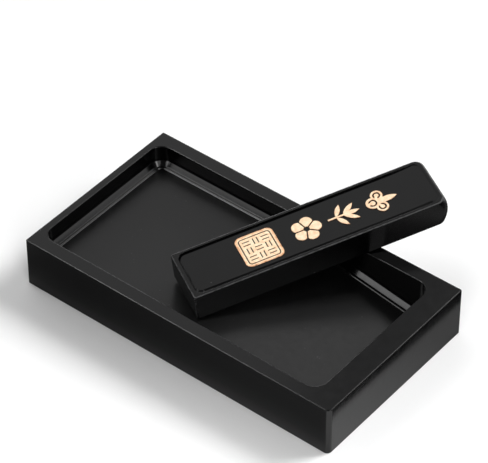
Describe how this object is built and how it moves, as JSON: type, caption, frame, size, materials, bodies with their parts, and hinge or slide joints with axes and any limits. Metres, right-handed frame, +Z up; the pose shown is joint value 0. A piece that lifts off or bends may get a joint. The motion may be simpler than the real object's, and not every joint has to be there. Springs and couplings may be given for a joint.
{
  "type": "inkstone set",
  "caption": "Rectangular stone slab with a sunk, sloping well for grinding ink, and a solid ink stick with gilded relief resting across its rim.",
  "frame": {"origin": "middle of the slab's base, on the surface it stands on", "axes": "+X along the slab towards the deep end of the well, +Y across it towards the side that the stick hangs over, +Z up"},
  "size_m": [0.135, 0.1068, 0.0377],
  "materials": {
    "dark_stone": "satin",
    "pressed_ink": "satin",
    "gilt_paint": "satin"
  },
  "bodies": {
    "slab": {"inkstone": "dark_stone"},
    "stick": {"ink_stick": "pressed_ink", "gilt_tablet": "gilt_paint", "gilt_blossom": "gilt_paint", "gilt_sprig": "gilt_paint", "gilt_cloud": "gilt_paint"}
  },
  "joints": [
    {"name": "stick_lift", "type": "slide", "parent": "slab", "child": "stick", "axis": [0, 0, 1], "range_m": [0, 0.06]}
  ]
}
